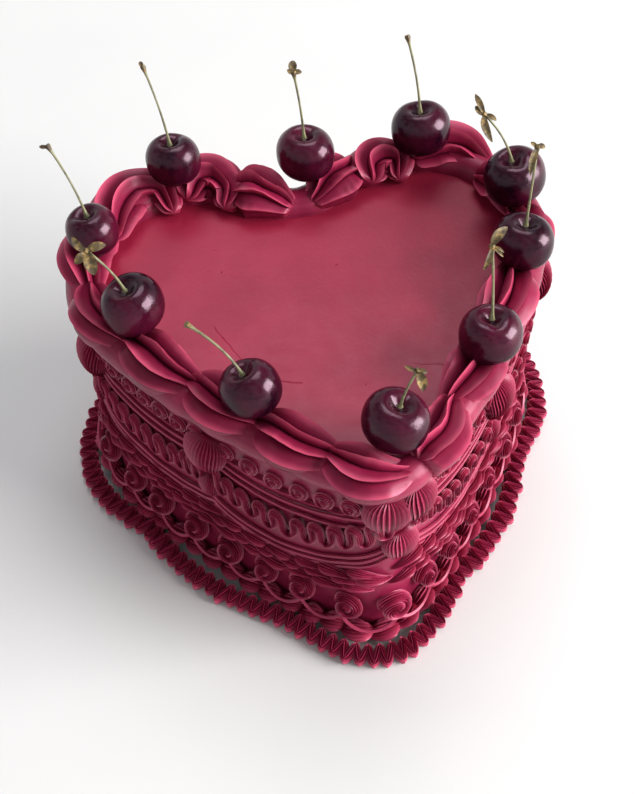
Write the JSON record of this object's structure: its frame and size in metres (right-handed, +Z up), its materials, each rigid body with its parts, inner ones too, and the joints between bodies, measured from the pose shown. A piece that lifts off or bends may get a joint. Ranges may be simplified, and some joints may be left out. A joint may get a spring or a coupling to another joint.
{
  "type": "heart-shaped cake",
  "caption": "Tall heart-shaped cake with piped icing all round its side, a shell border on top, a ruffle round its foot, and fresh cherries on stems pressed into the border.",
  "frame": {"origin": "middle of the whole cake's footprint, on the surface it stands on", "axes": "+X to the side across the two lobes, +Y towards the lobes and the notch, -Y towards the tip, +Z up"},
  "size_m": [0.2548, 0.2261, 0.1962],
  "materials": {
    "red_icing": "satin buttercream icing in deep raspberry red, with a soft sheen",
    "cherry_skin": "glossy dark maroon fruit skin",
    "cherry_stalk": "matte olive green to brown plant stalk"
  },
  "bodies": {
    "root": {"iced_cake": "red_icing", "shell_border": "red_icing", "foot_ruffle": "red_icing", "cherry_01": "cherry_skin", "cherry_02": "cherry_skin", "cherry_03": "cherry_skin", "cherry_04": "cherry_skin", "cherry_05": "cherry_skin", "cherry_06": "cherry_skin", "cherry_07": "cherry_skin", "cherry_08": "cherry_skin", "cherry_09": "cherry_skin", "cherry_10": "cherry_skin", "stem_01": "cherry_stalk", "stem_02": "cherry_stalk", "stem_03": "cherry_stalk", "stem_04": "cherry_stalk", "stem_05": "cherry_stalk", "stem_06": "cherry_stalk", "stem_07": "cherry_stalk", "stem_08": "cherry_stalk", "stem_09": "cherry_stalk", "stem_10": "cherry_stalk"}
  },
  "joints": []
}
